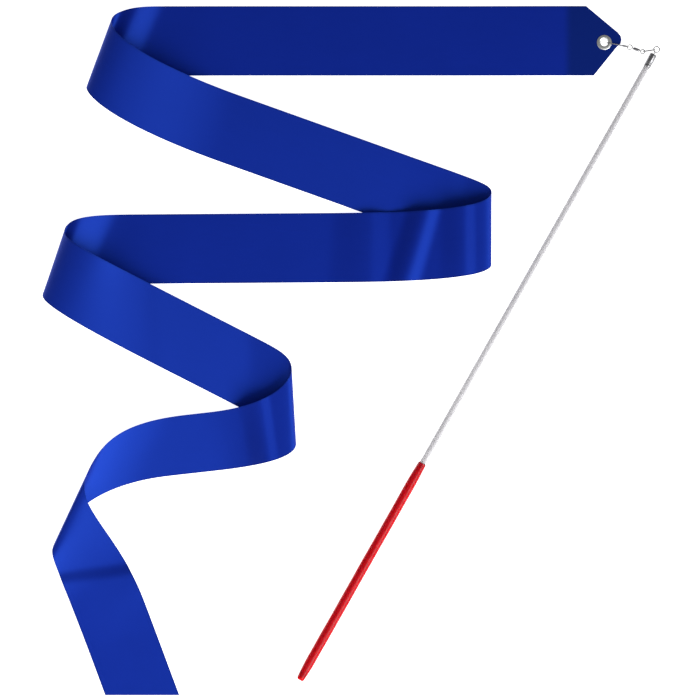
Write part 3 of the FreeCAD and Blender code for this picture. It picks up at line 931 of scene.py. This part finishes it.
def add_doubled_end(cloth, first_row, top_row, bottom_row):
    """Adds the pointed end, two layers thick, round the eyelet's hole and on to the single cloth."""
    outline = tip_outline()
    shared_from = len(outline)
    ring = outline + [Vector((point.x, point.y, 0)) for point in first_row[:-1]]
    count = len(ring)
    top_height = TIP_HEIGHT + CLOTH / 2
    middle_height = TIP_HEIGHT - CLOTH / 2
    bottom_height = TIP_HEIGHT - 1.5 * CLOTH

    def shared(i):
        """Which point of the single cloth's first row this ring point is, if it is one."""
        if i == 0:
            return ACROSS
        return i - shared_from if i >= shared_from else None

    def add(point, height, painted_shade):
        across = RUNS[0].y + RIBBON_WIDTH / 2 - point.y
        return cloth.add(Vector((point.x, point.y, height)), DOUBLED_FROM - point.x, across, painted_shade)

    def plate(height, outer):
        """A flat layer from the hole to the ring. outer holds the points it shares, if any."""
        spokes = []
        for i, point in enumerate(ring):
            start = EYELET_CENTRE + (point - EYELET_CENTRE).normalized() * EYELET_BARREL
            spoke = []
            for j in range(PLATE_RINGS + 1):
                t = (j / PLATE_RINGS) ** 1.2
                if outer and j == PLATE_RINGS and shared(i) is not None:
                    spoke.append(outer[shared(i)])
                else:
                    spoke.append(add(start.lerp(point, t), height, DOUBLED_PAINTED_SHADE))
            spokes.append(spoke)
        return spokes

    # Both layers of the doubled end carry its painted shade.
    top = plate(top_height, top_row)
    bottom = plate(bottom_height, None)
    middle = []
    for i, point in enumerate(ring):
        if shared(i) is not None:
            middle.append(bottom_row[shared(i)])
        else:
            # Painted shade: the crease between the two layers is painted darker still.
            inset = (EYELET_CENTRE - point).normalized() * INSET
            middle.append(add(point + inset, middle_height, DOUBLED_PAINTED_SHADE * 0.8))
    for i in range(count):
        n = (i + 1) % count
        for spokes in (top, bottom):
            for j in range(PLATE_RINGS):
                cloth.faces.append((spokes[i][j], spokes[i][j + 1], spokes[n][j + 1], spokes[n][j]))
        if i < shared_from:
            cloth.faces.append((top[i][-1], middle[i], middle[n], top[n][-1]))
        cloth.faces.append((middle[i], bottom[i][-1], bottom[n][-1], middle[n]))
        cloth.faces.append((top[i][0], bottom[i][0], bottom[n][0], top[n][0]))


def make_ribbon():
    """The ribbon as one mesh, and its length along the flat cloth."""
    rows, distances, turns = ribbon_grid()
    # The waves only lift the cloth, so it stays on or above the surface it lies on.
    for row, distance in zip(rows, distances):
        fade = smooth_step(distance, 0, RIPPLE_FADE)
        for k, point in enumerate(row):
            across = k / ACROSS
            point.z += fade * ripple(distance, across) + wave_height(distance, across, turns)
    cloth = Cloth()
    top_row, bottom_row = add_run(cloth, rows, distances)
    add_doubled_end(cloth, rows[0], top_row, bottom_row)
    obj = make_object("ribbon_cloth", cloth.points, cloth.faces, SATIN)
    mesh = obj.data
    layer = mesh.uv_layers.new(name="cloth")
    for loop in mesh.loops:
        layer.data[loop.index].uv = cloth.flat[loop.vertex_index]
    # The painted shade is stored per point, for the satin to multiply its colour by.
    colours = mesh.color_attributes.new("painted_shade", "FLOAT_COLOR", "POINT")
    for i, painted_shade in enumerate(cloth.painted_shades):
        colours.data[i].color = (painted_shade, painted_shade, painted_shade, 1)
    return obj, distances[-1] + TIP_X - DOUBLED_FROM


# ------------------------------------------------------------------ eyelet
EYELET_LENGTH = 0.5                     # how far the eyelet reaches below the cloth
# Height over the cloth, and distance beyond the hole, where the flange rolls out of the hole.
FLANGE_ROLL = [(-0.2, 0), (0.05, 0.06), (0.25, 0.25), (0.4, 0.6), (0.49, 1.05), (0.47, 1.5), (0.38, 1.95)]
# Height over the cloth, and radius, round the flange's rim.
FLANGE_RIM = [(0.33, 5.0), (0.3, 5.2), (0.2, 5.36), (0.08, 5.4), (0.01, 5.3)]
# Depth under the cloth, and radius, round the washer.
WASHER_RIM = [(0.01, 5.25), (0.1, 5.4), (0.25, 5.35), (0.33, 5.0), (0.45, 4.4), (0.5, 3.9), (0.47, 3.4)]


def make_eyelet_front():
    """A rolled flange on the upper face, drawn down into a barrel through the cloth."""
    base = TIP_HEIGHT + CLOTH / 2
    low = TIP_HEIGHT - 1.5 * CLOTH - EYELET_LENGTH
    barrel = EYELET_BARREL - 0.02
    outline = [(low, barrel), (low, EYELET_HOLE + 0.05), (low + 0.1, EYELET_HOLE)]
    outline += [(base + up, EYELET_HOLE + out) for up, out in FLANGE_ROLL]
    outline += [(base + up, radius) for up, radius in FLANGE_RIM]
    outline += [(base + 0.01, barrel)]
    return lathe("eyelet_flange", outline, EYELET_CENTRE, UP, NICKEL)


def make_eyelet_back():
    """The washer that the barrel is rolled over."""
    top = TIP_HEIGHT - 1.5 * CLOTH
    hole = EYELET_BARREL + 0.01
    outline = [(top - 0.01, hole)]
    outline += [(top - down, radius) for down, radius in WASHER_RIM]
    outline += [(top - 0.4, hole)]
    return lathe("eyelet_washer", outline, EYELET_CENTRE, UP, NICKEL)


# ------------------------------------------------------------------ put it together
place(make_rod(), "wand", "rod")
place(make_grip(), "wand", "grip")
place(make_ferrule(), "wand", "ferrule")
place(make_tip_eye(), "tip_eye", "tip_eye")
place(wire_loop("tip_ring_wire", upright_loop(RING_ENDS, RING_HALF_HEIGHT), RING_WIRE, WIRE),
      "tip_ring", "tip_ring")
near_end, far_end = barrel_ends()
place(make_swivel_eye("swivel_eye_near_wire", NEAR_EYE, NEAR_EYE_RADIUS, near_end, swivel_axis()),
      "swivel_near", "swivel_eye_near")
place(make_barrel(), "swivel_barrel", "swivel_barrel")
place(make_swivel_eye("swivel_eye_far_wire", FAR_EYE, FAR_EYE_RADIUS, far_end, -swivel_axis()),
      "swivel_far", "swivel_eye_far")
place(wire_loop("snap_spring_wire", upright_loop(SNAP_ENDS, SNAP_HALF_HEIGHT), SNAP_WIRE, WIRE),
      "snap", "snap_wire")
place(make_clasp(), "snap", "snap_clasp")
ribbon, ribbon_length = make_ribbon()
place(ribbon, "ribbon", "ribbon")
place(make_eyelet_front(), "ribbon", "eyelet_front")
place(make_eyelet_back(), "ribbon", "eyelet_back")

# ------------------------------------------------------------------ floor, light and camera
HALF_FLOOR = 8.0                        # these sizes are in metres
FLOOR_LEVEL = -0.0002
CORNERS = ((-1, -1), (1, -1), (1, 1), (-1, 1))
floor_material, _, _, floor_shader = new_material("floor_white")
floor_shader.inputs["Base Color"].default_value = (0.9, 0.9, 0.9, 1)
floor_shader.inputs["Roughness"].default_value = 0.9
floor_shader.inputs["Specular IOR Level"].default_value = 0.1
floor_shader.inputs["Emission Color"].default_value = (1.0, 0.995, 1.0, 1)
floor_shader.inputs["Emission Strength"].default_value = 0.95
floor_mesh = bpy.data.meshes.new("floor")
floor_points = [(x * HALF_FLOOR, y * HALF_FLOOR, FLOOR_LEVEL) for x, y in CORNERS]
floor_mesh.from_pydata(floor_points, [], [(0, 1, 2, 3)])
floor_mesh.materials.append(floor_material)
floor = bpy.data.objects.new("floor", floor_mesh)
scene.collection.objects.link(floor)

world = bpy.data.worlds.new("studio")
world.use_nodes = True
world.node_tree.nodes["Background"].inputs["Color"].default_value = (1, 1, 1, 1)
world.node_tree.nodes["Background"].inputs["Strength"].default_value = 0.25
scene.world = world


def softbox(name, azimuth, zenith, distance, width, height, power):
    """A soft lamp that faces the origin. zenith is its angle from straight above."""
    light = bpy.data.lights.new(name, "AREA")
    light.shape = "RECTANGLE"
    light.size = width
    light.size_y = height
    light.energy = power
    obj = bpy.data.objects.new(name, light)
    flat = heading(azimuth) * math.sin(math.radians(zenith))
    obj.location = (flat + UP * math.cos(math.radians(zenith))) * distance
    obj.rotation_euler = (-obj.location).to_track_quat("-Z", "Y").to_euler()
    scene.collection.objects.link(obj)


softbox("key", -44, 48, 1.6, 1.2, 1.2, 33)
softbox("fill", -125, 52, 1.4, 1.0, 1.0, 8)

CAMERA_HEIGHT = 4.0
VIEW_CENTRE = (-0.00108, 0.0005)        # the place on the surface in the middle of the picture
VIEW_WIDTH = 0.504                      # metres seen across the picture, on the surface
SENSOR = 36.0                           # in millimetres
camera_data = bpy.data.cameras.new("camera")
camera_data.sensor_width = SENSOR
camera_data.lens = SENSOR * CAMERA_HEIGHT / VIEW_WIDTH
camera_data.clip_end = 50.0
camera = bpy.data.objects.new("camera", camera_data)
camera.location = (*VIEW_CENTRE, CAMERA_HEIGHT)
camera.rotation_euler = (0, 0, 0)
scene.collection.objects.link(camera)
scene.camera = camera
scene.view_settings.view_transform = "Standard"
scene.view_settings.look = "None"
